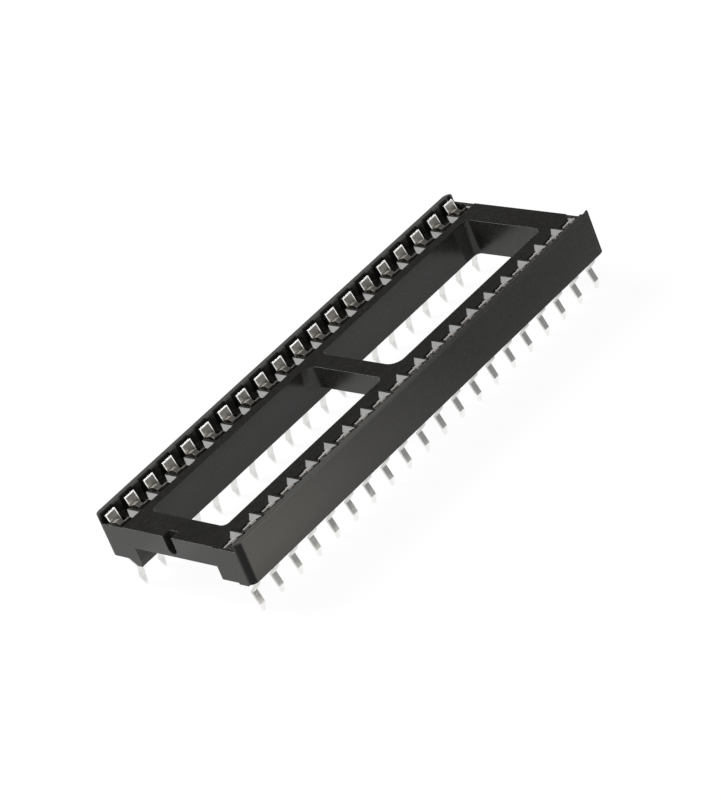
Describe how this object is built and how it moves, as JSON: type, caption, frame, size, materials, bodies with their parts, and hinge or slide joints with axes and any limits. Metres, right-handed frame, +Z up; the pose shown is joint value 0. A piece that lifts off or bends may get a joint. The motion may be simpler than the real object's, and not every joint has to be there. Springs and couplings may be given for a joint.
{
  "type": "dip ic socket",
  "caption": "Low-profile open-frame DIP IC socket: black moulded ladder frame with two rows of dual-leaf spring contacts and solder tails.",
  "frame": {"origin": "under the middle of the frame, level with the tips of the solder tails", "axes": "+X along the rows, away from the notched end; +Z up, towards the chip"},
  "size_m": [0.0504, 0.0178, 0.008],
  "materials": {
    "frame_plastic": "black glass-filled polyester, moulded semi-gloss",
    "contact_tin": "bright tin plate over phosphor bronze"
  },
  "bodies": {
    "root": {"housing": "frame_plastic", "contact_01": "contact_tin", "contact_02": "contact_tin", "contact_03": "contact_tin", "contact_04": "contact_tin", "contact_05": "contact_tin", "contact_06": "contact_tin", "contact_07": "contact_tin", "contact_08": "contact_tin", "contact_09": "contact_tin", "contact_10": "contact_tin", "contact_11": "contact_tin", "contact_12": "contact_tin", "contact_13": "contact_tin", "contact_14": "contact_tin", "contact_15": "contact_tin", "contact_16": "contact_tin", "contact_17": "contact_tin", "contact_18": "contact_tin", "contact_19": "contact_tin", "contact_20": "contact_tin", "contact_21": "contact_tin", "contact_22": "contact_tin", "contact_23": "contact_tin", "contact_24": "contact_tin", "contact_25": "contact_tin", "contact_26": "contact_tin", "contact_27": "contact_tin", "contact_28": "contact_tin", "contact_29": "contact_tin", "contact_30": "contact_tin", "contact_31": "contact_tin", "contact_32": "contact_tin", "contact_33": "contact_tin", "contact_34": "contact_tin", "contact_35": "contact_tin", "contact_36": "contact_tin", "contact_37": "contact_tin", "contact_38": "contact_tin", "contact_39": "contact_tin", "contact_40": "contact_tin"}
  },
  "joints": []
}
